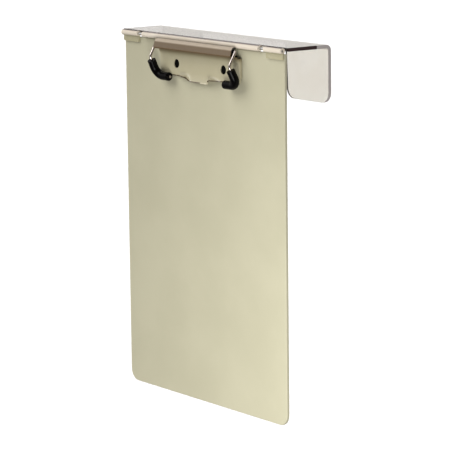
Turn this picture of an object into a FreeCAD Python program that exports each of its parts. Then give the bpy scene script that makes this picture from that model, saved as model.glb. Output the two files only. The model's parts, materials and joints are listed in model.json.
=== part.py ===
import FreeCAD, Part
import math
import os

from FreeCAD import Vector

# A hanging clipboard: a clear plastic hanger hooks over the top of an upright panel, such as
# a bed's footboard, and a writing board hinges on the hanger's front edge. A sprung wire clip
# with two soft sleeves holds the paper at the top of the board.
#
# Millimetres. +X is to the right, seen from the front; +Y runs from the board towards the
# hanger's legs; +Z is up. The origin is the centre of the underside of the hanger's top
# plate, the face that rests on the panel's top edge.

# ---- driving dimensions -------------------------------------------------------------------

# hanger
HANGER_WIDTH = 236.0
SHEET = 3.0                 # thickness of the clear sheet
SLOT_DEPTH = 42.8           # from the board's face to the legs' inner face
PLATE_SETBACK = 0.8         # the top plate's front edge, behind the board's face
BEND_INSIDE_RADIUS = 2.0
LEG_LENGTH = 45.8           # below the top plate's underside
LEG_CORNER_RADIUS = 9.0
WINDOW_HALF_TOP = 60.8      # half width of the cut-out between the legs, at its top
WINDOW_HALF_BOTTOM = 62.8
WINDOW_TOP_Z = -2.6
SHEET_EDGE_RADIUS = 0.4

# hinge along the front edge
BARREL_RADIUS = 2.4
PIN_RADIUS = 1.0
PIN_HALF_LENGTH = 113.8
PIN_CHAMFER = 0.3
FIXED_BORE_GAP = 0.02       # radial gap of the hanger's own barrels on the pin
TURNING_BORE_GAP = 0.06     # radial gap of the board's barrels on the pin
HINGE_SETBACK = 1.9         # axis in front of the board's face
HINGE_RISE = 0.4            # axis above the top plate's underside
END_BARREL_INNER_X = 90.9
END_BARREL_OUTER_X = 114.5
MIDDLE_BARREL_HALF = 83.6
SEAM_LEFT_X = -43.5
SEAM_RIGHT_X = 10.5
SEAM_GAP = 0.3
LEAF_INNER_X = 91.6
LEAF_OUTER_X = 114.3
LEAF_THICKNESS = 1.7
LEAF_TOP_Z = -1.0           # inside the barrel's wall
LEAF_LOW_Z = -7.1
LEAF_CORNER_RADIUS = 1.5

# board
BOARD_WIDTH = 229.0
BOARD_THICKNESS = 2.5
BOARD_TOP_Z = -2.5
BOARD_LOW_Z = -314.5
BOARD_CORNER_RADIUS = 10.0
BOARD_EDGE_RADIUS = 0.6

# clip: base and rivets
CLIP_SHEET = 0.8
CLIP_AXIS_FRONT = 6.8       # the wire's axis, in front of the board's face
CLIP_AXIS_Z = -3.8
WIRE_RADIUS = 1.1
HOOK_GAP = 0.05             # radial gap of the base's hooks on the wire
HOOK_TURN = 250             # degrees that each hook curls round the wire
HOOK_BEND_RADIUS = 1.6
HOOK_NECK = 3.2             # length of hook that stands above the base plate
HOOK_INNER_X = 24.0
HOOK_OUTER_X = 44.0
BASE_HALF_WIDTH = 50.0
BASE_LOW_Z = -27.0
RIVET_X = 33.7
RIVET_Z = -21.35
RIVET_HOLE_RADIUS = 3.9     # the jaw's clearance hole round a rivet's head
RIVET_HEAD_RADIUS = 3.4
RIVET_HEAD_HEIGHT = 1.3
RIVET_HEAD_ROUNDING = 0.9
RIVET_SHANK_RADIUS = 1.6
RIVET_TAIL_RADIUS = 2.8
RIVET_TAIL_HEIGHT = 0.9
RIVET_TAIL_ROUNDING = 0.6
WASHER_RADIUS = 4.5
WASHER_THICKNESS = 0.8

# clip: jaw. Places are (y in front of the board's face, z).
JAW_HALF_WIDTH = 57.4
JAW_FRONT = 2.4             # the jaw's flat face, in front of the board's face
JAW_LOW_Z = -32.1
JAW_CORNER_RADIUS = 5.0
SPINE_HALF_WIDTH = 55.3
SPINE_INSIDE_RADIUS = 2.4
SPINE_START_ANGLE = 109     # degrees round the wire, from straight down towards the front
SPINE_END_ANGLE = 215
SPINE_LOW_Z = -8.9
SPINE_STEP = (4.4, -9.9)    # where the spine's foot turns in
SHOULDER_Z = -10.4          # below it the jaw is wider than its spine
FLAT_TOP_Z = -14.2          # where the flat face starts
JAW_BENDS = [1.2, 1.0, 7.0]
SPINE_DEPTH = 4.0           # room in front of the wire's curl for the spine's foot
BAND_TOP_Z = -27.8          # the flat ends and the lower band starts
SIDE_GAP = 0.7              # from the jaw's turned-back sides to the board's face
TAB_HALF_WIDTH = 11.6       # the middle of the band, which runs further down as a tab
FLARE_X = 17.6              # the band flares forwards most here, beside the tab
PLAIN_X = 37.0              # and not at all from here outwards
BAND_STATIONS = 5           # sections of the band between two of its places
PLAIN_BAND = [(2.4, -27.8), (2.4, -31.6), (1.3, -32.1)]     # front face, then back face
PLAIN_BAND_BACK = [(1.6, -27.8), (1.6, -31.1), (0.6, -31.6)]
FLARED_BAND = [(2.4, -27.8), (2.4, -30.6), (7.0, -31.6)]
FLARED_BAND_BACK = [(1.6, -27.8), (1.6, -31.1), (6.6, -32.1)]
TAB_BAND = [(2.4, -27.8), (2.4, -32.0), (4.0, -35.4)]
TAB_BAND_BACK = [(1.6, -27.8), (1.6, -32.2), (3.3, -35.7)]

# clip: wire and sleeves
SLEEVE_RADIUS = 3.7
SLEEVE_START = 0.19         # share of the arm's lower run that is left bare
SLEEVE_END_X = 40.6
WIRE_END_X = 38.6
ARM_X = 57.2                # just outside the spine
CREST = (57.0, 13.7, -16.2)     # x, y in front of the board's face, z
ELBOW = (58.1, 5.7, -33.0)
WIRE_BENDS = [2.2, 4.0, 8.0]

# ---- places worked out from them ----------------------------------------------------------

FRONT_Y = -SLOT_DEPTH / 2               # the board's face
PLATE_FRONT_Y = FRONT_Y + PLATE_SETBACK
LEG_INNER_Y = SLOT_DEPTH / 2
LEG_OUTER_Y = LEG_INNER_Y + SHEET
HINGE_Y = FRONT_Y - HINGE_SETBACK
HINGE_Z = HINGE_RISE
BOARD_BACK_Y = FRONT_Y + BOARD_THICKNESS
CLIP_AXIS_Y = FRONT_Y - CLIP_AXIS_FRONT
BASE_FRONT_Y = FRONT_Y - CLIP_SHEET
JAW_FRONT_Y = FRONT_Y - JAW_FRONT
ALONG_X = Vector(1, 0, 0)
ALONG_Y = Vector(0, 1, 0)
PAST = 1.0                              # how far a cutting tool runs past what it cuts
NEAR = 0.01


# ---- helpers ------------------------------------------------------------------------------

def box(x0, x1, y0, y1, z0, z1):
    """A box between two corners."""
    return Part.makeBox(x1 - x0, y1 - y0, z1 - z0, Vector(x0, y0, z0))


def rod(radius, x0, x1, y, z):
    """A cylinder along X."""
    return Part.makeCylinder(radius, x1 - x0, Vector(x0, y, z), ALONG_X)


def stud(radius, x, z, y0, y1):
    """A cylinder along Y."""
    return Part.makeCylinder(radius, y1 - y0, Vector(x, y0, z), ALONG_Y)


def front_plate(points, y0, y1):
    """A polygon of (x, z) points, extruded from y0 to y1."""
    corners = [Vector(x, y0, z) for x, z in points]
    outline = Part.makePolygon(corners + corners[:1])
    return Part.Face(outline).extrude(Vector(0, y1 - y0, 0))


def tangent_arc(before, corner, after, radius):
    """The arc of a radius that rounds a corner: its start, middle and end points."""
    into = (before - corner).normalize()
    out = (after - corner).normalize()
    half = into.getAngle(out) / 2
    reach = radius / math.tan(half)
    to_centre = (into + out).normalize()
    centre = corner + to_centre * (radius / math.sin(half))
    return corner + into * reach, centre - to_centre * radius, corner + out * reach


def rounded_path(points, radii):
    """Straight runs through the points, with a tangent arc at each inner point."""
    edges = []
    here = points[0]
    for i, radius in enumerate(radii):
        start, middle, end = tangent_arc(points[i], points[i + 1], points[i + 2], radius)
        edges.append(Part.LineSegment(here, start).toShape())
        edges.append(Part.Arc(start, middle, end).toShape())
        here = end
    edges.append(Part.LineSegment(here, points[-1]).toShape())
    return Part.Wire(edges)


def swept_disc(path, radius):
    """A round bar of a radius along a path."""
    start = path.Edges[0]
    centre = start.valueAt(start.FirstParameter)
    along = start.tangentAt(start.FirstParameter)
    ring = Part.Wire(Part.makeCircle(radius, centre, along))
    return path.makePipeShell([ring], True, False)


def ribbon(points, radii, thickness, x0, x1):
    """Bent sheet: a line of (y, z) points with rounded corners, thickened to one side."""
    left = [Vector(0, y, z) for y, z in points]
    right = []
    for i, point in enumerate(left):
        normals = []
        if i > 0:
            run = (point - left[i - 1]).normalize()
            normals.append(Vector(0, -run.z, run.y))
        if i < len(left) - 1:
            run = (left[i + 1] - point).normalize()
            normals.append(Vector(0, -run.z, run.y))
        mean = normals[0]
        if len(normals) == 2:
            mean = (normals[0] + normals[1]).normalize()
            mean = mean * (1 / mean.dot(normals[0]))
        right.append(point + mean * thickness)
    turns = []
    for i in range(1, len(left) - 1):
        before = left[i] - left[i - 1]
        after = left[i + 1] - left[i]
        to_left = before.y * after.z - before.z * after.y > 0
        turns.append(-thickness if to_left else thickness)
    near = rounded_path(left, radii)
    far = rounded_path(right, [r + t for r, t in zip(radii, turns)])
    ends = [Part.LineSegment(left[i], right[i]).toShape() for i in (0, -1)]
    outline = Part.Wire(Part.__sortEdges__(near.Edges + far.Edges + ends))
    sheet = Part.Face(outline).extrude(Vector(x1 - x0, 0, 0))
    sheet.translate(Vector(x0, 0, 0))
    return sheet


def clip_point(angle, radius, x):
    """A point at an angle round the wire, from straight down towards the front."""
    turn = math.radians(angle)
    y = CLIP_AXIS_Y - radius * math.sin(turn)
    return Vector(x, y, CLIP_AXIS_Z - radius * math.cos(turn))


def bezier(points, x):
    """A smooth curve from (y in front of the board's face, z) control points, at one x."""
    curve = Part.BezierCurve()
    curve.setPoles([Vector(x, FRONT_Y - y, z) for y, z in points])
    return curve.toShape()


def curl(inside, outside, start, end, x0, x1):
    """Sheet curled round the wire's axis, between two radii and two angles."""
    middle = (start + end) / 2
    edges = [
        Part.Arc(*[clip_point(a, inside, x0) for a in (start, middle, end)]).toShape(),
        Part.LineSegment(clip_point(end, inside, x0), clip_point(end, outside, x0)).toShape(),
        Part.Arc(*[clip_point(a, outside, x0) for a in (end, middle, start)]).toShape(),
        Part.LineSegment(clip_point(start, outside, x0), clip_point(start, inside, x0)).toShape(),
    ]
    return Part.Face(Part.Wire(edges)).extrude(Vector(x1 - x0, 0, 0))


def mirrored(shape):
    """The same shape on the other side of the middle."""
    return shape.mirror(Vector(0, 0, 0), ALONG_X)


def rounded_edges(shape, wanted, radius):
    """Fillets every edge that the test picks."""
    return shape.makeFillet(radius, [e for e in shape.Edges if wanted(e)])


def runs_along(edge, direction):
    """Is this a straight edge in that direction?"""
    if not isinstance(edge.Curve, Part.Line):
        return False
    return abs(edge.tangentAt(edge.FirstParameter).dot(direction)) > 0.999


# ---- hanger -------------------------------------------------------------------------------

def hanger_bracket():
    """Clear sheet bent to an L: a top plate, and two legs with a cut-out between them."""
    half = HANGER_WIDTH / 2
    line = [(PLATE_FRONT_Y, 0), (LEG_INNER_Y, 0), (LEG_INNER_Y, -LEG_LENGTH)]
    shape = ribbon(line, [BEND_INSIDE_RADIUS], SHEET, -half, half)
    window_low = -LEG_LENGTH - PAST
    window = front_plate(
        [
            (-WINDOW_HALF_TOP, WINDOW_TOP_Z),
            (WINDOW_HALF_TOP, WINDOW_TOP_Z),
            (WINDOW_HALF_BOTTOM, window_low),
            (-WINDOW_HALF_BOTTOM, window_low),
        ],
        LEG_INNER_Y - PAST,
        LEG_OUTER_Y + PAST,
    )
    shape = shape.cut(window)

    def leg_corner(edge):
        at_bottom = abs(edge.CenterOfMass.z + LEG_LENGTH) < NEAR
        return at_bottom and runs_along(edge, ALONG_Y)

    shape = rounded_edges(shape, leg_corner, LEG_CORNER_RADIUS)

    def front_edge(edge):
        return runs_along(edge, ALONG_X) and abs(edge.CenterOfMass.y - PLATE_FRONT_Y) < NEAR

    return rounded_edges(shape, front_edge, SHEET_EDGE_RADIUS)


def hanger_barrel(x0, x1):
    """One length of the hanger's fixed barrel, with its foot on the top plate's edge."""
    top = HINGE_Z + BARREL_RADIUS
    foot = box(x0, x1, HINGE_Y, PLATE_FRONT_Y, SHEET_EDGE_RADIUS, top)
    barrel = rod(BARREL_RADIUS, x0, x1, HINGE_Y, HINGE_Z).fuse(foot).removeSplitter()
    bore_radius = PIN_RADIUS + FIXED_BORE_GAP
    return barrel.cut(rod(bore_radius, x0 - PAST, x1 + PAST, HINGE_Y, HINGE_Z))


def hinge_pin():
    """The steel rod that both sets of barrels turn on."""
    pin = rod(PIN_RADIUS, -PIN_HALF_LENGTH, PIN_HALF_LENGTH, HINGE_Y, HINGE_Z)
    ends = [e for e in pin.Edges if isinstance(e.Curve, Part.Circle)]
    return pin.makeChamfer(PIN_CHAMFER, ends)


def board_hinge():
    """The right barrel on the board, and the leaf that is bonded to the board's face."""
    leaf_front = FRONT_Y - LEAF_THICKNESS
    leaf = box(LEAF_INNER_X, LEAF_OUTER_X, leaf_front, FRONT_Y, LEAF_LOW_Z, LEAF_TOP_Z)

    def low_corner(edge):
        return runs_along(edge, ALONG_Y) and abs(edge.CenterOfMass.z - LEAF_LOW_Z) < NEAR

    leaf = rounded_edges(leaf, low_corner, LEAF_CORNER_RADIUS)
    barrel = rod(BARREL_RADIUS, END_BARREL_INNER_X, END_BARREL_OUTER_X, HINGE_Y, HINGE_Z)
    bore_radius = PIN_RADIUS + TURNING_BORE_GAP
    bore_start = END_BARREL_INNER_X - PAST
    bore = rod(bore_radius, bore_start, END_BARREL_OUTER_X + PAST, HINGE_Y, HINGE_Z)
    return leaf.fuse(barrel).removeSplitter().cut(bore)


# ---- board --------------------------------------------------------------------------------

def board_panel():
    """The writing board, with rounded lower corners, softened edges and two rivet holes."""
    half = BOARD_WIDTH / 2
    panel = box(-half, half, FRONT_Y, BOARD_BACK_Y, BOARD_LOW_Z, BOARD_TOP_Z)

    def low_corner(edge):
        return runs_along(edge, ALONG_Y) and abs(edge.CenterOfMass.z - BOARD_LOW_Z) < NEAR

    panel = rounded_edges(panel, low_corner, BOARD_CORNER_RADIUS)

    def rim(edge):
        return not runs_along(edge, ALONG_Y)

    return drilled(rounded_edges(panel, rim, BOARD_EDGE_RADIUS))


# ---- clip: base, rivets and washers on the board --------------------------------------------

def drilled(shape):
    """Cuts the two rivet holes through a shape on the board."""
    for x in (-RIVET_X, RIVET_X):
        hole = stud(RIVET_SHANK_RADIUS, x, RIVET_Z, BASE_FRONT_Y - PAST, BOARD_BACK_Y + PAST)
        shape = shape.cut(hole)
    return shape


def clip_base():
    """Steel plate on the board's face, with two hooks curled round the wire."""
    inside = WIRE_RADIUS + HOOK_GAP
    neck_top = CLIP_AXIS_Z - inside
    line = [(FRONT_Y, BASE_LOW_Z), (FRONT_Y, neck_top), (CLIP_AXIS_Y, neck_top)]
    hook = ribbon(line, [HOOK_BEND_RADIUS], CLIP_SHEET, HOOK_INNER_X, HOOK_OUTER_X)
    ring = curl(inside, inside + CLIP_SHEET, 0, HOOK_TURN, HOOK_INNER_X, HOOK_OUTER_X)
    hook = hook.fuse(ring)
    plate_top = neck_top - HOOK_NECK
    plate = box(-BASE_HALF_WIDTH, BASE_HALF_WIDTH, BASE_FRONT_Y, FRONT_Y, BASE_LOW_Z, plate_top)
    return drilled(plate.fuse([hook, mirrored(hook)]).removeSplitter())


def clip_rivet(x):
    """A rivet with a low rounded head in front and a rolled tail behind the washer."""
    head_front = BASE_FRONT_Y - RIVET_HEAD_HEIGHT
    tail_front = BOARD_BACK_Y + WASHER_THICKNESS
    tail_back = tail_front + RIVET_TAIL_HEIGHT

    def head_rim(edge):
        return abs(edge.CenterOfMass.y - head_front) < NEAR

    def tail_rim(edge):
        return abs(edge.CenterOfMass.y - tail_back) < NEAR

    head = stud(RIVET_HEAD_RADIUS, x, RIVET_Z, head_front, BASE_FRONT_Y)
    head = rounded_edges(head, head_rim, RIVET_HEAD_ROUNDING)
    tail = stud(RIVET_TAIL_RADIUS, x, RIVET_Z, tail_front, tail_back)
    tail = rounded_edges(tail, tail_rim, RIVET_TAIL_ROUNDING)
    shank = stud(RIVET_SHANK_RADIUS, x, RIVET_Z, BASE_FRONT_Y, tail_front)
    shape = shank.fuse([head, tail]).removeSplitter()
    return shape.cut(stud(RIVET_SHANK_RADIUS / 2, x, RIVET_Z, BOARD_BACK_Y, tail_back + PAST))


def rivet_washer(x):
    """The washer that spreads the rivet's load on the board's back."""
    back = BOARD_BACK_Y + WASHER_THICKNESS
    washer = stud(WASHER_RADIUS, x, RIVET_Z, BOARD_BACK_Y, back)
    return washer.cut(stud(RIVET_SHANK_RADIUS, x, RIVET_Z, BOARD_BACK_Y - PAST, back + PAST))


# ---- clip: the jaw, its wire and its sleeves ------------------------------------------------

def jaw_outline():
    """The jaw's outline from the front, with rounded lower corners, as deep as the clip."""
    front = CLIP_AXIS_Y - SPINE_INSIDE_RADIUS - SPINE_DEPTH
    low = TAB_BAND[-1][1] - PAST
    wide = box(-JAW_HALF_WIDTH, JAW_HALF_WIDTH, front, FRONT_Y, JAW_LOW_Z, SHOULDER_Z)

    def low_corner(edge):
        return runs_along(edge, ALONG_Y) and abs(edge.CenterOfMass.z - JAW_LOW_Z) < NEAR

    wide = rounded_edges(wide, low_corner, JAW_CORNER_RADIUS)
    spine = box(-SPINE_HALF_WIDTH, SPINE_HALF_WIDTH, front, FRONT_Y, FLAT_TOP_Z, 0)
    tab = box(-FLARE_X, FLARE_X, front, FRONT_Y, low, BAND_TOP_Z)
    return wide.fuse([spine, tab]).removeSplitter()


def eased(step):
    """A share from 0 to 1 that starts and ends gently."""
    return step * step * (3 - 2 * step)


def band_section(x, faces, other_faces, share):
    """The jaw's lower band at one x, part of the way from one section to another."""
    curves = []
    for points, others in zip(faces, other_faces):
        mixed = [
            (y0 + (y1 - y0) * share, z0 + (z1 - z0) * share)
            for (y0, z0), (y1, z1) in zip(points, others)
        ]
        curves.append(bezier(mixed, x))
    front, back = curves
    ends = [Part.LineSegment(front.valueAt(t), back.valueAt(t)).toShape() for t in (0, 1)]
    return Part.Wire(Part.__sortEdges__([front, ends[1], back, ends[0]]))


def shaped_band():
    """The middle of the jaw's lower band: it flares forwards, and runs down into a tab."""
    plain = (PLAIN_BAND, PLAIN_BAND_BACK)
    flared = (FLARED_BAND, FLARED_BAND_BACK)
    tab = (TAB_BAND, TAB_BAND_BACK)
    stretches = [
        (0, TAB_HALF_WIDTH, tab, tab),
        (TAB_HALF_WIDTH, FLARE_X, tab, flared),
        (FLARE_X, PLAIN_X, flared, plain),
    ]
    right = []
    for x0, x1, start, end in stretches:
        for i in range(BAND_STATIONS):
            step = i / BAND_STATIONS
            right.append((x0 + (x1 - x0) * step, start, end, eased(step)))
    right.append((PLAIN_X, plain, plain, 0))
    left = [(-x, *rest) for x, *rest in reversed(right[1:])]
    sections = [band_section(*place) for place in left + right]
    return Part.makeLoft(sections, True, False)


def jaw_side():
    """The right edge of the jaw's flat, turned back to hide the gap behind it."""
    half_sheet = CLIP_SHEET / 2
    back_y = FRONT_Y - SIDE_GAP
    low = JAW_LOW_Z + JAW_CORNER_RADIUS
    flat_y = JAW_FRONT_Y + half_sheet
    top_y = FRONT_Y - SPINE_STEP[0] + CLIP_SHEET
    places = [
        (back_y, SHOULDER_Z),
        (back_y, low),
        (flat_y, low),
        (flat_y, FLAT_TOP_Z),
        (top_y, SHOULDER_Z),
    ]
    corners = [Vector(JAW_HALF_WIDTH - CLIP_SHEET, y, z) for y, z in places]
    outline = Part.makePolygon(corners + corners[:1])
    return Part.Face(outline).extrude(Vector(CLIP_SHEET, 0, 0))


def jaw_plate():
    """Sheet steel: a curled spine over the hooks, a flat with turned-back sides, and a shaped
    lower band."""
    outside = SPINE_INSIDE_RADIUS + CLIP_SHEET
    half = JAW_HALF_WIDTH
    spine = curl(SPINE_INSIDE_RADIUS, outside, SPINE_START_ANGLE, SPINE_END_ANGLE, -half, half)
    start = clip_point(SPINE_START_ANGLE, outside, 0)
    lean = math.tan(math.radians(90 - SPINE_START_ANGLE))
    step_front, step_z = SPINE_STEP
    line = [
        (start.y, start.z),
        (start.y + lean * (start.z - SPINE_LOW_Z), SPINE_LOW_Z),
        (FRONT_Y - step_front, step_z),
        (JAW_FRONT_Y, FLAT_TOP_Z),
        (JAW_FRONT_Y, BAND_TOP_Z),
    ]
    sheet = ribbon(line, JAW_BENDS, CLIP_SHEET, -half, half)
    plain = (PLAIN_BAND, PLAIN_BAND_BACK)
    side_band = Part.Face(band_section(PLAIN_X, plain, plain, 0))
    side_band = side_band.extrude(Vector(half - PLAIN_X, 0, 0))
    side = jaw_side()
    pieces = [sheet, shaped_band(), side_band, mirrored(side_band), side, mirrored(side)]
    shape = spine.fuse(pieces).removeSplitter().common(jaw_outline())
    for x in (-RIVET_X, RIVET_X):
        shape = shape.cut(stud(RIVET_HOLE_RADIUS, x, RIVET_Z, JAW_FRONT_Y - PAST, FRONT_Y))
    return shape


def wire_points():
    """The wire's right half: out of the spine, down and forwards to a crest, back towards the
    board beside the jaw, then inwards across the jaw's lower corner."""
    crest, elbow = [Vector(x, FRONT_Y - y, z) for x, y, z in (CREST, ELBOW)]
    return [
        Vector(ARM_X, CLIP_AXIS_Y, CLIP_AXIS_Z),
        crest,
        elbow,
        Vector(WIRE_END_X, elbow.y, elbow.z),
    ]


def spring_wire():
    """One round wire from sleeve to sleeve, through the spine."""
    right = wire_points()
    left = [Vector(-p.x, p.y, p.z) for p in reversed(right)]
    path = rounded_path(left + right, WIRE_BENDS[::-1] + WIRE_BENDS)
    return swept_disc(path, WIRE_RADIUS)


def grip_sleeve():
    """The soft sleeve on the wire's right end."""
    crest, elbow, end = wire_points()[1:]
    start = crest + (elbow - crest) * SLEEVE_START
    stop = Vector(SLEEVE_END_X, end.y, end.z)
    path = rounded_path([start, elbow, stop], WIRE_BENDS[2:])
    return swept_disc(path, SLEEVE_RADIUS).cut(swept_disc(path, WIRE_RADIUS))


parts = {
    "hanger_bracket": hanger_bracket(),
    "hanger_barrel_left": hanger_barrel(-MIDDLE_BARREL_HALF, SEAM_LEFT_X - SEAM_GAP / 2),
    "hanger_barrel_centre": hanger_barrel(SEAM_LEFT_X + SEAM_GAP / 2, SEAM_RIGHT_X - SEAM_GAP / 2),
    "hanger_barrel_right": hanger_barrel(SEAM_RIGHT_X + SEAM_GAP / 2, MIDDLE_BARREL_HALF),
    "hinge_pin": hinge_pin(),
    "board_panel": board_panel(),
    "board_hinge_right": board_hinge(),
    "board_hinge_left": mirrored(board_hinge()),
    "clip_base": clip_base(),
    "clip_rivet_right": clip_rivet(RIVET_X),
    "clip_rivet_left": clip_rivet(-RIVET_X),
    "rivet_washer_right": rivet_washer(RIVET_X),
    "rivet_washer_left": rivet_washer(-RIVET_X),
    "jaw_plate": jaw_plate(),
    "spring_wire": spring_wire(),
    "grip_sleeve_right": grip_sleeve(),
    "grip_sleeve_left": mirrored(grip_sleeve()),
}

os.makedirs("parts", exist_ok=True)
for name, shape in parts.items():
    state = "valid" if shape.isValid() else "INVALID"
    print(name, state, len(shape.Solids), "solid", round(shape.Volume, 1), "mm3")
    shape.exportStep(os.path.join("parts", name + ".step"))
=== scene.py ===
import json
import math

import bpy
from mathutils import Matrix, Vector


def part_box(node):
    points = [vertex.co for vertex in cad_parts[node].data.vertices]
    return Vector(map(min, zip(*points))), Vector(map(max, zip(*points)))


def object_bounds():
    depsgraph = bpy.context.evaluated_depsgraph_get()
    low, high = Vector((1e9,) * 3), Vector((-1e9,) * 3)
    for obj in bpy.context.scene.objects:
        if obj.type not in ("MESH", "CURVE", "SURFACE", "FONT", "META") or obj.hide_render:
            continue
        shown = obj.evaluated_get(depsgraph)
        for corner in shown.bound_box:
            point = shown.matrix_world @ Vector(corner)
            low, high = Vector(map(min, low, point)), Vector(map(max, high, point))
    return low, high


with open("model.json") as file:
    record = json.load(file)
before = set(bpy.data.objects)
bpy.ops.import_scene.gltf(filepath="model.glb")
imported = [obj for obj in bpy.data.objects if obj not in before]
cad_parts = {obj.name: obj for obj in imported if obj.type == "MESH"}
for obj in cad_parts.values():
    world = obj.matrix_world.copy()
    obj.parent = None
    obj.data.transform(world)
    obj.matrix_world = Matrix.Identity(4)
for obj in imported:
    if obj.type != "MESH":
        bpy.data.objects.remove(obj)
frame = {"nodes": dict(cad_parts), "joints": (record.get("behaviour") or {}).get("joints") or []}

# A hanging clipboard: clear hanger, beige board and a sprung clip. Every solid comes from the
# CAD frame. This script gives each one its material, and sets the floor, lights and camera.

NODES = frame["nodes"]
cad_low, cad_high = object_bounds()

BOARD_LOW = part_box("board_panel")[0]
CLIP_AXIS = next(Vector(j["pos_m"]) for j in frame["joints"] if j["name"] == "clip_open")


# ---- node helpers -------------------------------------------------------------------------

def linear(value):
    """One sRGB channel, 0 to 255, as linear light."""
    share = value / 255
    return share / 12.92 if share <= 0.04045 else ((share + 0.055) / 1.055) ** 2.4


def colour(red, green, blue):
    """An sRGB colour as the linear colour that a shader takes."""
    return (linear(red), linear(green), linear(blue), 1.0)


class Material:
    """A material with one Principled shader, and short calls that add nodes to it."""

    def __init__(self, name, **values):
        self.material = bpy.data.materials.new(name)
        self.material.use_nodes = True
        self.tree = self.material.node_tree
        self.shader = self.tree.nodes["Principled BSDF"]
        for socket, value in values.items():
            self.shader.inputs[socket.replace("_", " ")].default_value = value
        self.coordinates = self.node("ShaderNodeTexCoord")
        self.place = self.coordinates.outputs["Object"]

    def node(self, kind, **settings):
        made = self.tree.nodes.new(kind)
        for name, value in settings.items():
            setattr(made, name, value)
        return made

    def join(self, source, target):
        """Links an output to a socket, or writes a plain value there."""
        if isinstance(source, bpy.types.NodeSocket):
            self.tree.links.new(source, target)
        else:
            target.default_value = source

    def math(self, operation, first, second=0.0):
        made = self.node("ShaderNodeMath", operation=operation)
        self.join(first, made.inputs[0])
        self.join(second, made.inputs[1])
        return made.outputs[0]

    def axis(self, letter):
        """One coordinate of the surface point, in metres."""
        made = self.node("ShaderNodeSeparateXYZ")
        self.join(self.place, made.inputs[0])
        return made.outputs[letter]

    def facing(self, letter):
        """How far the surface faces along one axis: -1 to 1."""
        made = self.node("ShaderNodeSeparateXYZ")
        self.join(self.coordinates.outputs["Normal"], made.inputs[0])
        return made.outputs[letter]

    def sawn(self):
        """Where the surface is a cut end, which faces along X."""
        across = self.math("ABSOLUTE", self.facing("X"))
        return self.ramp(across, *CUT_FACING)

    def stretched(self, x, y, z):
        """The surface point with each coordinate scaled."""
        made = self.node("ShaderNodeMapping")
        self.join(self.place, made.inputs["Vector"])
        made.inputs["Scale"].default_value = (x, y, z)
        return made.outputs[0]

    def noise(self, scale, detail=3.0, roughness=0.55, place=None):
        made = self.node("ShaderNodeTexNoise")
        self.join(place or self.place, made.inputs["Vector"])
        made.inputs["Scale"].default_value = scale
        made.inputs["Detail"].default_value = detail
        made.inputs["Roughness"].default_value = roughness
        return made.outputs["Fac"]

    def cloud(self, scale, detail=3.0, low=0.3, high=0.7):
        """Slow noise as a share from 0 to 1."""
        return self.ramp(self.noise(scale, detail), low, high)

    def ramp(self, value, low, high, to_low=0.0, to_high=1.0):
        """A value carried smoothly from one range to another, and held at the ends."""
        made = self.node("ShaderNodeMapRange", clamp=True, interpolation_type="SMOOTHSTEP")
        self.join(value, made.inputs["Value"])
        made.inputs["From Min"].default_value = low
        made.inputs["From Max"].default_value = high
        made.inputs["To Min"].default_value = to_low
        made.inputs["To Max"].default_value = to_high
        return made.outputs[0]

    def mix(self, share, first, second):
        """Two colours mixed by a share."""
        made = self.node("ShaderNodeMix", data_type="RGBA")
        self.join(share, made.inputs[0])
        self.join(first, made.inputs[6])
        self.join(second, made.inputs[7])
        return made.outputs[2]

    def bump(self, height, strength, distance):
        """Bump from a height."""
        made = self.node("ShaderNodeBump")
        made.inputs["Strength"].default_value = strength
        made.inputs["Distance"].default_value = distance
        self.join(height, made.inputs["Height"])
        return made.outputs[0]

    def set(self, socket, source):
        self.join(source, self.shader.inputs[socket])

    def put_on(self, *names):
        """Gives the material to CAD nodes."""
        for name in names:
            data = NODES[name].data
            data.materials.clear()
            data.materials.append(self.material)


# ---- materials ----------------------------------------------------------------------------

CUT_FACING = 0.85, 0.9      # a face that turns this far along X is a cut end


def clear_plastic():
    """Polished clear acrylic, faintly warm, with hairline scratches and dust. Its sawn edges are
    opaque: painted shade along the front of the top plate and in the cut-out, and grey
    elsewhere."""
    made = Material("clear_plastic", IOR=1.49)
    cloud = made.cloud(60.0, 3.0, 0.35, 0.65)
    body = made.mix(cloud, colour(*CLEAR_TINT), colour(*CLEAR_TINT_PALE))
    scratch = made.noise(900.0, 2.0, 0.5, made.stretched(0.06, 1.0, 1.0))
    made.set("Roughness", made.ramp(scratch, 0.55, 0.8, 0.04, 0.16))
    made.set("Normal", made.bump(scratch, 0.05, 0.0002))
    on_leg = made.ramp(made.axis("Z"), LEG_TOP_Z, LEG_TOP_Z - THIN_STEP)
    face_on = made.math("ABSOLUTE", made.facing("Y"))
    leg_edge = made.math("MULTIPLY", on_leg, made.ramp(face_on, *LEG_EDGE_FACING))
    edge = made.math("MAXIMUM", made.sawn(), leg_edge)
    # Painted shade on the sawn edges along the front of the top plate and in the cut-out; the
    # others are grey.
    outer = made.ramp(made.math("ABSOLUTE", made.axis("X")), *LEG_OUTER_X)
    rear = made.ramp(made.axis("Y"), *EDGE_SHADE_END_Y)
    grey = made.mix(made.noise(500.0), colour(*SAWN_GREY), colour(*SAWN_GREY_PALE))
    dull = made.mix(made.math("MULTIPLY", outer, rear), colour(*PAINTED_SAWN_SHADE_TINT), grey)
    made.set("Base Color", made.mix(edge, body, dull))
    made.set("Transmission Weight", made.math("SUBTRACT", 1.0, edge))
    return made


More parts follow.
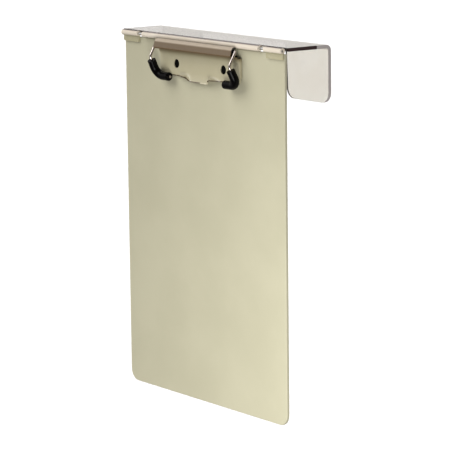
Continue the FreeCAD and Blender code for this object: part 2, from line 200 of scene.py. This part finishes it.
def barrel_plastic(name, leaf_tint, leaf_tint_pale):
    """Pale moulded plastic with flow marks, and painted shade along each barrel's top, where it
    meets the top plate. Below the barrel it takes the leaf's own tints."""
    made = Material(name, Roughness=0.2, Specular_IOR_Level=0.35)
    flow = made.ramp(made.noise(120.0, 3.0, 0.5, made.stretched(0.3, 1.0, 1.0)), 0.3, 0.7)
    barrel = made.mix(flow, *[colour(*tint) for tint in BARREL_TINTS])
    leaf = made.mix(flow, colour(*leaf_tint), colour(*leaf_tint_pale))
    on_leaf = made.ramp(made.axis("Z"), *LEAF_Z)
    body = made.mix(on_leaf, barrel, leaf)
    # Painted shade along the barrel's top, where it meets the top plate.
    top = made.ramp(made.facing("Z"), *GAP_SHADE_FACING)
    made.set("Base Color", made.mix(top, body, colour(*PAINTED_GAP_SHADE_TINT)))
    made.set("Roughness", made.ramp(flow, 0.0, 1.0, 0.16, 0.28))
    made.set("Normal", made.bump(made.noise(900.0, 2.0), 0.06, 0.0002))
    return made


def board_plastic():
    """Warm beige moulded plastic with a fine satin grain and slight mottling."""
    made = Material("board_plastic", Roughness=0.5, Specular_IOR_Level=0.3)
    cloud = made.cloud(16.0, 4.0)
    body = made.mix(cloud, colour(*BOARD_TINT), colour(*BOARD_TINT_PALE))
    speck = made.ramp(made.noise(1500.0, 2.0), 0.6, 0.75, 0.0, 0.15)
    made.set("Base Color", made.mix(speck, body, colour(*BOARD_SPECK)))
    grain = made.noise(2600.0, 2.0)
    made.set("Roughness", made.ramp(made.noise(40.0), 0.3, 0.7, 0.5, 0.54))
    made.set("Normal", made.bump(grain, 0.15, 0.0001))
    return made


def jaw_paint():
    """Beige enamel on sheet steel with a little orange peel. On it are painted light and shade:
    a painted shade band along the spine, lighter at its top as a painted highlight, a painted
    shadow fading out below it, painted shade inside the curl and on its cut ends, and a painted
    shadow along the lower edge, with a painted highlight at the tab's right corner."""
    made = Material("jaw_paint", Roughness=0.4, Coat_Weight=0.15, Coat_Roughness=0.2)
    cloud = made.cloud(30.0, 4.0)
    body = made.mix(cloud, colour(*JAW_TINT), colour(*JAW_TINT_PALE))
    height = made.axis("Z")
    # Painted shadow of the spine on the flat, fading out below the band.
    fade = made.ramp(height, SPINE_SHADOW_LOW_Z, BAND_LOW_Z)
    body = made.mix(fade, body, colour(*PAINTED_SPINE_SHADOW_TINT))
    # Painted shade band along the spine, lighter toward the spine's top as a painted highlight.
    band = made.ramp(height, BAND_LOW_Z - THIN_STEP / 2, BAND_LOW_Z + THIN_STEP / 2)
    top = made.ramp(height, CLIP_AXIS.z, SPINE_TOP_Z)
    spine = made.mix(top, colour(*PAINTED_SPINE_SHADE_TINT), colour(*PAINTED_SPINE_HIGHLIGHT_TINT))
    body = made.mix(band, body, spine)
    # Painted shade inside the curl and on the curl's cut ends.
    forward = made.math("SUBTRACT", made.axis("Y"), CLIP_AXIS.y)
    up = made.math("SUBTRACT", height, CLIP_AXIS.z)
    squares = made.math("POWER", forward, 2.0), made.math("POWER", up, 2.0)
    radius = made.math("SQRT", made.math("ADD", *squares))
    inside = made.ramp(radius, CURL_MIDDLE + THIN_STEP / 2, CURL_MIDDLE - THIN_STEP / 2)
    curl = made.ramp(radius, CURL_OUTSIDE + THIN_STEP, CURL_OUTSIDE)
    cut_end = made.math("MULTIPLY", made.sawn(), curl)
    painted_curl_shade = made.math("MAXIMUM", inside, cut_end)
    body = made.mix(painted_curl_shade, body, colour(*PAINTED_CURL_SHADE_TINT))
    # Painted shadow along the lower edge, with a painted highlight at the tab's right corner.
    across = made.axis("X")
    edge_z = made.ramp(made.math("ABSOLUTE", across), *TAB_SIDES, TAB_EDGE_Z, BAND_EDGE_Z)
    above = made.math("SUBTRACT", height, edge_z)
    painted_edge_shadow = made.ramp(above, RIM_HEIGHT, RIM_HEIGHT / 2)
    tab_highlight = made.math("MULTIPLY", made.ramp(across, *TAB_HIGHLIGHT_FROM), made.ramp(across, *TAB_HIGHLIGHT_TO))
    edge_shadow_and_highlight_tint = made.mix(tab_highlight, colour(*PAINTED_EDGE_SHADOW_TINT), colour(*PAINTED_TAB_HIGHLIGHT_TINT))
    made.set("Base Color", made.mix(painted_edge_shadow, body, edge_shadow_and_highlight_tint))
    peel = made.noise(700.0, 2.0)
    made.set("Roughness", made.ramp(made.noise(80.0), 0.3, 0.7, 0.35, 0.48))
    made.set("Normal", made.bump(peel, 0.1, 0.0002))
    return made


def brushed_metal(name, tint, tint_dark, direction, roughness):
    """Metal with fine lines along one direction and slight tarnish."""
    made = Material(name, Metallic=1.0, Roughness=roughness)
    tarnish = made.cloud(120.0, 4.0, 0.35)
    made.set("Base Color", made.mix(tarnish, colour(*tint), colour(*tint_dark)))
    lines = made.noise(1800.0, 2.0, 0.5, made.stretched(*direction))
    made.set("Roughness", made.ramp(lines, 0.3, 0.7, roughness - 0.08, roughness + 0.1))
    made.set("Normal", made.bump(lines, 0.08, 0.0001))
    return made


def chrome():
    """Chrome plate, satin from use, with slight waviness and a few dull specks."""
    made = Material("wire_chrome", Metallic=1.0, Roughness=0.25)
    speck = made.cloud(900.0, 3.0, 0.6, 0.75)
    made.set("Base Color", made.mix(speck, *[colour(*tint) for tint in CHROME_TINTS]))
    made.set("Roughness", made.ramp(speck, 0.0, 1.0, 0.22, 0.4))
    made.set("Normal", made.bump(made.noise(500.0), 0.04, 0.0001))
    return made


def soft_vinyl():
    """Black dipped vinyl with a slow ripple and a little dust."""
    made = Material("sleeve_vinyl", Specular_IOR_Level=0.06, Roughness=0.28)
    dust = made.cloud(700.0, 4.0, 0.6, 0.8)
    made.set("Base Color", made.mix(dust, *[colour(*tint) for tint in VINYL_TINTS]))
    made.set("Roughness", made.ramp(dust, 0.0, 1.0, 0.24, 0.45))
    made.set("Normal", made.bump(made.noise(260.0, 2.0), 0.15, 0.0004))
    return made


def black_lacquer():
    """Black lacquer on the rivets, with a little wear."""
    made = Material("black_rivet", Roughness=0.4, Specular_IOR_Level=0.03)
    wear = made.cloud(1200.0, 4.0, 0.62, 0.78)
    made.set("Base Color", made.mix(wear, *[colour(*tint) for tint in RIVET_TINTS]))
    made.set("Roughness", made.ramp(wear, 0.0, 1.0, 0.35, 0.5))
    made.set("Normal", made.bump(made.noise(600.0), 0.08, 0.0002))
    return made


# sRGB tints
CLEAR_TINT = (213, 209, 200)
CLEAR_TINT_PALE = (216, 213, 205)
# painted shade on the clear plastic's sawn edges
PAINTED_SAWN_SHADE_TINT = (52, 38, 38)
SAWN_GREY = (160, 153, 150)
SAWN_GREY_PALE = (172, 166, 163)
# painted shade along the barrels' tops
PAINTED_GAP_SHADE_TINT = (92, 76, 72)
BARREL_TINTS = (206, 195, 178), (212, 202, 187)
HINGE_TINTS = (159, 153, 124), (166, 160, 133)
BOARD_TINT = (169, 165, 141)
BOARD_TINT_PALE = (174, 170, 146)
BOARD_SPECK = (153, 149, 124)
JAW_TINT = (165, 158, 130)
JAW_TINT_PALE = (169, 162, 135)
# painted shade inside the jaw's curl and on its cut ends
PAINTED_CURL_SHADE_TINT = (20, 17, 15)
# painted shade band, painted highlight and painted shadow on and below the jaw's spine
PAINTED_SPINE_SHADE_TINT = (89, 70, 42)
PAINTED_SPINE_HIGHLIGHT_TINT = (163, 148, 128)
PAINTED_SPINE_SHADOW_TINT = (96, 82, 52)
# painted shadow along the jaw's lower edge and painted highlight on the tab
PAINTED_EDGE_SHADOW_TINT = (78, 64, 46)
PAINTED_TAB_HIGHLIGHT_TINT = (190, 182, 156)
CHROME_TINTS = (176, 166, 160), (130, 122, 116)
VINYL_TINTS = (5, 4, 4), (14, 13, 12)
RIVET_TINTS = (4, 4, 3), (14, 13, 12)
STEEL_TINTS = (70, 66, 62), (48, 45, 42)
PIN_TINTS = (205, 205, 204), (180, 178, 174)
WASHER_TINTS = (222, 222, 222), (200, 199, 196)
FLOOR_TINTS = (250, 250, 250), (253, 253, 253)

# a barrel's painted gap shade, where a hinge's leaf starts, and places on the legs and on the
# jaw
GAP_SHADE_FACING = 0.8, 0.9
LEAF_Z = -0.001, -0.002
LEG_TOP_Z = -0.0025
LEG_EDGE_FACING = 0.5, 0.4
LEG_OUTER_X = 0.1, 0.11
# where the painted shade on the sawn edges ends
EDGE_SHADE_END_Y = 0.0091, 0.0101
THIN_STEP = 0.0002
CURL_MIDDLE = 0.0027
CURL_OUTSIDE = 0.0033
# heights of the painted highlight, shade band and shadow on the jaw's spine
SPINE_TOP_Z = CLIP_AXIS.z + 0.0016
BAND_LOW_Z = CLIP_AXIS.z - 0.0053
SPINE_SHADOW_LOW_Z = CLIP_AXIS.z - 0.0112
TAB_SIDES = 0.0116, 0.0176
TAB_EDGE_Z = -0.0356
BAND_EDGE_Z = -0.0320
# height of the painted shadow along the jaw's lower edge, and where the tab's painted highlight
# lies
RIM_HEIGHT = 0.0012
TAB_HIGHLIGHT_FROM = 0.0015, 0.0030
TAB_HIGHLIGHT_TO = 0.0160, 0.0145

clear_plastic().put_on("hanger_bracket")
barrel_plastic("barrel_plastic", *BARREL_TINTS).put_on(
    "hanger_barrel_left", "hanger_barrel_centre", "hanger_barrel_right"
)
barrel_plastic("hinge_plastic", *HINGE_TINTS).put_on("board_hinge_left", "board_hinge_right")
board_plastic().put_on("board_panel")
jaw_paint().put_on("jaw_plate")
chrome().put_on("spring_wire")
soft_vinyl().put_on("grip_sleeve_left", "grip_sleeve_right")
black_lacquer().put_on("clip_rivet_left", "clip_rivet_right")
brushed_metal("clip_steel", *STEEL_TINTS, (1.0, 1.0, 0.05), 0.4).put_on("clip_base")
brushed_metal("pin_steel", *PIN_TINTS, (0.03, 1.0, 1.0), 0.25).put_on("hinge_pin")
brushed_metal("washer_metal", *WASHER_TINTS, (1.0, 0.05, 1.0), 0.3).put_on(
    "rivet_washer_left", "rivet_washer_right"
)


# ---- floor --------------------------------------------------------------------------------

FLOOR_DROP = 5.0
FLOOR_HALF = 160.0
FLOOR_CELLS = 8


def floor():
    """A pale floor, well below the board, that fills the view."""
    step = 2 * FLOOR_HALF / FLOOR_CELLS
    count = FLOOR_CELLS + 1
    corners = [
        (i * step - FLOOR_HALF, j * step - FLOOR_HALF, BOARD_LOW.z - FLOOR_DROP)
        for j in range(count)
        for i in range(count)
    ]
    faces = [
        (j * count + i, j * count + i + 1, (j + 1) * count + i + 1, (j + 1) * count + i)
        for j in range(FLOOR_CELLS)
        for i in range(FLOOR_CELLS)
    ]
    mesh = bpy.data.meshes.new("floor")
    mesh.from_pydata(corners, [], faces)
    piece = bpy.data.objects.new("floor", mesh)
    bpy.context.collection.objects.link(piece)
    made = Material("floor", Roughness=0.9, Specular_IOR_Level=0.1)
    cloud = made.cloud(3.0)
    made.set("Base Color", made.mix(cloud, *[colour(*tint) for tint in FLOOR_TINTS]))
    mesh.materials.append(made.material)
    return piece


# The floor shows white behind the object, and doesn't light it from below.
ground = floor()
ground.visible_diffuse = False
ground.visible_glossy = False


# ---- lights and camera --------------------------------------------------------------------

CENTRE = (cad_low + cad_high) / 2


def aimed(thing, place, target):
    """Puts an object at a place and points it at a target."""
    thing.location = place
    thing.rotation_euler = (Vector(target) - Vector(place)).to_track_quat("-Z", "Y").to_euler()
    bpy.context.collection.objects.link(thing)
    return thing


def soft_sun(name, towards, strength, softness):
    """A distant soft light; the direction goes from the object to the light."""
    light = bpy.data.lights.new(name, "SUN")
    light.energy = strength
    light.angle = math.radians(softness)
    return aimed(bpy.data.objects.new(name, light), CENTRE + Vector(towards), CENTRE)


def panel_light(name, place, size, watts):
    """A square soft light aimed at the object."""
    light = bpy.data.lights.new(name, "AREA")
    light.shape = "SQUARE"
    light.size = size
    light.energy = watts
    return aimed(bpy.data.objects.new(name, light), CENTRE + Vector(place), CENTRE)


KEY_TOWARDS = (-0.5, -0.9, 0.95)
KEY_STRENGTH = 2.4
KEY_SOFTNESS = 50.0
TOP_TOWARDS = (0.0, 0.35, 1.0)
TOP_STRENGTH = 0.4
TOP_SOFTNESS = 60.0
BACK_TOWARDS = (0.3, 1.0, 0.35)
BACK_STRENGTH = 0.8
BACK_SOFTNESS = 60.0
FILL_PLACE = (0.42, -0.42, -0.2)
FILL_SIZE = 0.35
FILL_WATTS = 4.7

soft_sun("key", KEY_TOWARDS, KEY_STRENGTH, KEY_SOFTNESS)
soft_sun("top", TOP_TOWARDS, TOP_STRENGTH, TOP_SOFTNESS)
soft_sun("back", BACK_TOWARDS, BACK_STRENGTH, BACK_SOFTNESS)
fill = panel_light("fill", FILL_PLACE, FILL_SIZE, FILL_WATTS)
fill.visible_camera = False

# The room is brightest on the side away from the camera, and dim below.
BRIGHT_SIDE = (-0.8, 0.6, 0.0)
ROOM_BRIGHT = 0.8
ROOM_DARK = 0.12
ROOM_BELOW = 0.3
ROOM_SEEN = 1.0
ROOM_TINT = (1.0, 0.97, 0.95, 1.0)
SIDE_FROM = -0.85
SIDE_TO = 0.6
BELOW_FROM = -0.15


def room():
    """A white world, brighter on one side and dim under the object. Seen directly or through
    the clear plastic it is plain and pale."""
    world = bpy.data.worlds.new("studio")
    world.use_nodes = True
    tree = world.node_tree
    direction = tree.nodes.new("ShaderNodeTexCoord").outputs["Generated"]
    towards = tree.nodes.new("ShaderNodeVectorMath")
    towards.operation = "DOT_PRODUCT"
    towards.inputs[1].default_value = BRIGHT_SIDE
    tree.links.new(direction, towards.inputs[0])
    side = tree.nodes.new("ShaderNodeMapRange")
    side.interpolation_type = "SMOOTHSTEP"
    side.inputs["From Min"].default_value = SIDE_FROM
    side.inputs["From Max"].default_value = SIDE_TO
    side.inputs["To Min"].default_value = ROOM_DARK
    side.inputs["To Max"].default_value = ROOM_BRIGHT
    tree.links.new(towards.outputs["Value"], side.inputs["Value"])
    parts = tree.nodes.new("ShaderNodeSeparateXYZ")
    tree.links.new(direction, parts.inputs[0])
    level = tree.nodes.new("ShaderNodeMapRange")
    level.inputs["From Min"].default_value = BELOW_FROM
    level.inputs["From Max"].default_value = 0.0
    level.inputs["To Min"].default_value = ROOM_BELOW
    level.inputs["To Max"].default_value = 1.0
    tree.links.new(parts.outputs["Z"], level.inputs["Value"])
    product = tree.nodes.new("ShaderNodeMath")
    product.operation = "MULTIPLY"
    tree.links.new(side.outputs[0], product.inputs[0])
    tree.links.new(level.outputs[0], product.inputs[1])
    path = tree.nodes.new("ShaderNodeLightPath")
    seen = tree.nodes.new("ShaderNodeMath")
    seen.operation = "MAXIMUM"
    tree.links.new(path.outputs["Is Camera Ray"], seen.inputs[0])
    tree.links.new(path.outputs["Is Transmission Ray"], seen.inputs[1])
    shown = tree.nodes.new("ShaderNodeMix")
    tree.links.new(seen.outputs[0], shown.inputs["Factor"])
    tree.links.new(product.outputs[0], shown.inputs["A"])
    shown.inputs["B"].default_value = ROOM_SEEN
    tree.links.new(shown.outputs["Result"], tree.nodes["Background"].inputs["Strength"])
    tree.nodes["Background"].inputs["Color"].default_value = ROOM_TINT
    return world


bpy.context.scene.world = room()
bpy.context.scene.view_settings.view_transform = "Standard"

# The camera stands to the right of the board's front and a little above it.
CAMERA_PLACE = (1.7176, -1.2699, 0.2102)
CAMERA_RIGHT = Vector((0.59644, 0.80257, -0.01187))
CAMERA_DOWN = Vector((0.13034, -0.11143, -0.98519))
CAMERA_AHEAD = Vector((-0.79201, 0.58606, -0.17107))
CAMERA_LENS_MM = 200.5
SENSOR_MM = 36.0

lens = bpy.data.cameras.new("camera")
lens.lens = CAMERA_LENS_MM
lens.sensor_width = SENSOR_MM
camera = bpy.data.objects.new("camera", lens)
bpy.context.collection.objects.link(camera)
turn = Matrix((CAMERA_RIGHT, -CAMERA_DOWN, -CAMERA_AHEAD)).transposed()
camera.matrix_world = Matrix.Translation(CAMERA_PLACE) @ turn.to_4x4()
bpy.context.scene.camera = camera
